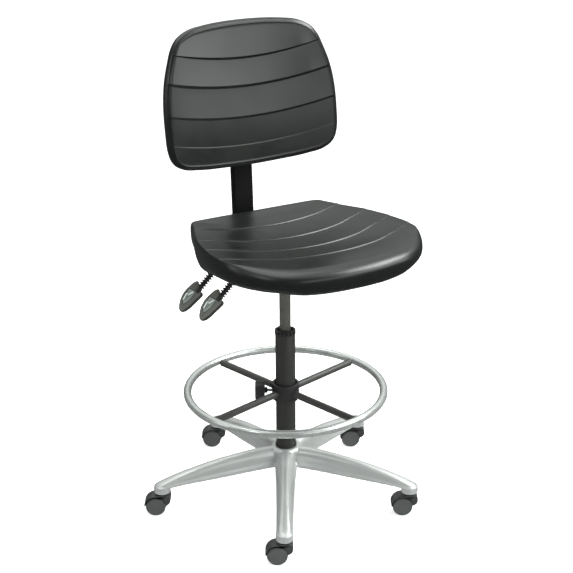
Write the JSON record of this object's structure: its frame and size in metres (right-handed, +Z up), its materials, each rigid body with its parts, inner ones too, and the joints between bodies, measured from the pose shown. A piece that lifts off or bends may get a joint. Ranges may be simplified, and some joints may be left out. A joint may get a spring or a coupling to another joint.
{
  "type": "drafting chair",
  "caption": "Tall drafting chair: moulded seat and back, gas lift, sliding foot ring, cast star base on twin-wheel casters; seat, back, ring and casters all move.",
  "frame": {"origin": "on the floor under the middle of the chair's bounding box", "axes": "+Z up; the sitter faces -Y; +X is the sitter's left"},
  "size_m": [0.6964, 0.7134, 1.2003],
  "materials": {
    "cast_aluminium": "polished casting",
    "bright_steel": "bright satin",
    "grey_steel": "grey zinc",
    "black_paint": "satin charcoal",
    "black_plastic": "fine grain",
    "lever_plastic": "satin",
    "caster_plastic": "satin",
    "pad_skin": "self-skinned foam, fine grain",
    "board_black": "moulded"
  },
  "bodies": {
    "base": {"star_base": "cast_aluminium", "column_tube": "black_paint", "column_foot_ring": "black_plastic", "column_bush": "black_plastic", "thrust_bearing": "grey_steel", "caster_stem_1": "grey_steel", "caster_stem_2": "grey_steel", "caster_stem_3": "grey_steel", "caster_stem_4": "grey_steel", "caster_stem_5": "grey_steel"},
    "caster_1": {"caster_hood_1": "caster_plastic", "caster_axle_1": "grey_steel"},
    "wheel_left_1": {"caster_wheel_left_1": "caster_plastic"},
    "wheel_right_1": {"caster_wheel_right_1": "caster_plastic"},
    "caster_2": {"caster_hood_2": "caster_plastic", "caster_axle_2": "grey_steel"},
    "wheel_left_2": {"caster_wheel_left_2": "caster_plastic"},
    "wheel_right_2": {"caster_wheel_right_2": "caster_plastic"},
    "caster_3": {"caster_hood_3": "caster_plastic", "caster_axle_3": "grey_steel"},
    "wheel_left_3": {"caster_wheel_left_3": "caster_plastic"},
    "wheel_right_3": {"caster_wheel_right_3": "caster_plastic"},
    "caster_4": {"caster_hood_4": "caster_plastic", "caster_axle_4": "grey_steel"},
    "wheel_left_4": {"caster_wheel_left_4": "caster_plastic"},
    "wheel_right_4": {"caster_wheel_right_4": "caster_plastic"},
    "caster_5": {"caster_hood_5": "caster_plastic", "caster_axle_5": "grey_steel"},
    "wheel_left_5": {"caster_wheel_left_5": "caster_plastic"},
    "wheel_right_5": {"caster_wheel_right_5": "caster_plastic"},
    "piston_rod": {"gas_piston_rod": "bright_steel", "retaining_clip": "grey_steel"},
    "seat": {"gas_pressure_tube": "grey_steel", "taper_socket": "black_paint", "mechanism_housing": "black_paint", "back_pivot_pin": "bright_steel", "seat_plate": "black_paint", "seat_board": "board_black", "seat_pad": "pad_skin"},
    "release_pin": {"release_pin": "bright_steel"},
    "height_lever": {"height_lever_rod": "grey_steel", "height_lever_bellows": "black_plastic", "height_lever_paddle": "lever_plastic"},
    "tilt_lever": {"tilt_lever_rod": "grey_steel", "tilt_lever_bellows": "black_plastic", "tilt_lever_paddle": "lever_plastic"},
    "back_arm": {"back_arm": "black_paint"},
    "back_rest": {"back_bracket": "black_paint", "back_board": "board_black", "back_pad": "pad_skin"},
    "back_knob": {"back_height_knob": "black_plastic"},
    "ring_carrier": {"foot_ring_bush": "black_plastic"},
    "ring_frame": {"foot_ring_tube": "bright_steel", "foot_ring_hub": "black_plastic", "foot_ring_spoke_1": "black_paint", "foot_ring_spoke_2": "black_paint", "foot_ring_spoke_3": "black_paint", "foot_ring_spoke_4": "black_paint"},
    "ring_knob": {"foot_ring_knob_stud": "bright_steel", "foot_ring_knob": "black_plastic"}
  },
  "joints": [
    {"name": "caster_swivel_1", "type": "hinge", "parent": "base", "child": "caster_1", "pos_m": [-0.1429, -0.29167, 0.045], "axis": [0, 0, 1], "continuous": true},
    {"name": "wheel_roll_left_1", "type": "hinge", "parent": "caster_1", "child": "wheel_left_1", "pos_m": [-0.15816, -0.28311, 0.025], "axis": [-0.4894, -0.8721, 0], "continuous": true},
    {"name": "wheel_roll_right_1", "type": "hinge", "parent": "caster_1", "child": "wheel_right_1", "pos_m": [-0.15816, -0.28311, 0.025], "axis": [-0.4894, -0.8721, 0], "continuous": true},
    {"name": "caster_swivel_2", "type": "hinge", "parent": "base", "child": "caster_2", "pos_m": [0.24065, -0.25203, 0.045], "axis": [0, 0, 1], "continuous": true},
    {"name": "wheel_roll_left_2", "type": "hinge", "parent": "caster_2", "child": "wheel_left_2", "pos_m": [0.22539, -0.24347, 0.025], "axis": [-0.4894, -0.8721, 0], "continuous": true},
    {"name": "wheel_roll_right_2", "type": "hinge", "parent": "caster_2", "child": "wheel_right_2", "pos_m": [0.22539, -0.24347, 0.025], "axis": [-0.4894, -0.8721, 0], "continuous": true},
    {"name": "caster_swivel_3", "type": "hinge", "parent": "base", "child": "caster_3", "pos_m": [0.32148, 0.12499, 0.045], "axis": [0, 0, 1], "continuous": true},
    {"name": "wheel_roll_left_3", "type": "hinge", "parent": "caster_3", "child": "wheel_left_3", "pos_m": [0.30621, 0.13355, 0.025], "axis": [-0.4894, -0.8721, 0], "continuous": true},
    {"name": "wheel_roll_right_3", "type": "hinge", "parent": "caster_3", "child": "wheel_right_3", "pos_m": [0.30621, 0.13355, 0.025], "axis": [-0.4894, -0.8721, 0], "continuous": true},
    {"name": "caster_swivel_4", "type": "hinge", "parent": "base", "child": "caster_4", "pos_m": [-0.01212, 0.31836, 0.045], "axis": [0, 0, 1], "continuous": true},
    {"name": "wheel_roll_left_4", "type": "hinge", "parent": "caster_4", "child": "wheel_left_4", "pos_m": [-0.02738, 0.32693, 0.025], "axis": [-0.4894, -0.8721, 0], "continuous": true},
    {"name": "wheel_roll_right_4", "type": "hinge", "parent": "caster_4", "child": "wheel_right_4", "pos_m": [-0.02738, 0.32693, 0.025], "axis": [-0.4894, -0.8721, 0], "continuous": true},
    {"name": "caster_swivel_5", "type": "hinge", "parent": "base", "child": "caster_5", "pos_m": [-0.29911, 0.06085, 0.045], "axis": [0, 0, 1], "continuous": true},
    {"name": "wheel_roll_left_5", "type": "hinge", "parent": "caster_5", "child": "wheel_left_5", "pos_m": [-0.31437, 0.06942, 0.025], "axis": [-0.4894, -0.8721, 0], "continuous": true},
    {"name": "wheel_roll_right_5", "type": "hinge", "parent": "caster_5", "child": "wheel_right_5", "pos_m": [-0.31437, 0.06942, 0.025], "axis": [-0.4894, -0.8721, 0], "continuous": true},
    {"name": "seat_swivel", "type": "hinge", "parent": "base", "child": "piston_rod", "pos_m": [0.0216, -0.0079, 0.09], "axis": [0, 0, 1], "continuous": true},
    {"name": "seat_lift", "type": "slide", "parent": "piston_rod", "child": "seat", "axis": [0, 0, 1], "range_m": [-0.125, 0.12]},
    {"name": "height_lever_lift", "type": "hinge", "parent": "seat", "child": "height_lever", "pos_m": [-0.0364, -0.0179, 0.64], "axis": [0, 1, 0], "range_deg": [0, 6], "stiffness_Nm_per_rad": 4, "springref_deg": -9.17},
    {"name": "release_pin_travel", "type": "slide", "parent": "seat", "child": "release_pin", "axis": [0, 0, -1], "range_m": [0, 0.007]},
    {"name": "tilt_lever_lift", "type": "hinge", "parent": "seat", "child": "tilt_lever", "pos_m": [-0.0364, 0.0771, 0.631], "axis": [0, 1, 0], "range_deg": [0, 10], "stiffness_Nm_per_rad": 4, "springref_deg": -9.17},
    {"name": "back_recline", "type": "hinge", "parent": "seat", "child": "back_arm", "pos_m": [0.0216, 0.0521, 0.642], "axis": [-1, 0, 0], "range_deg": [-5, 15]},
    {"name": "back_height", "type": "slide", "parent": "back_arm", "child": "back_rest", "axis": [0, 0.0436, 0.999], "range_m": [-0.05, 0.05]},
    {"name": "back_knob_turn", "type": "hinge", "parent": "back_rest", "child": "back_knob", "pos_m": [0.0216, 0.21994, 0.985], "axis": [0, 0.999, -0.0436], "range_deg": [-180, 180]},
    {"name": "foot_ring_height", "type": "slide", "parent": "base", "child": "ring_carrier", "axis": [0, 0, 1], "range_m": [-0.11, 0.11]},
    {"name": "foot_ring_turn", "type": "hinge", "parent": "ring_carrier", "child": "ring_frame", "pos_m": [0.0216, -0.0079, 0.298], "axis": [0, 0, 1], "continuous": true},
    {"name": "foot_ring_knob_turn", "type": "hinge", "parent": "ring_frame", "child": "ring_knob", "pos_m": [-0.03052, 0.02183, 0.295], "axis": [-0.8686, 0.4955, 0], "range_deg": [-180, 180]}
  ],
  "couplings": [
    {"joint": "release_pin_travel", "follows": "height_lever_lift", "m_per_rad": 0.064}
  ]
}
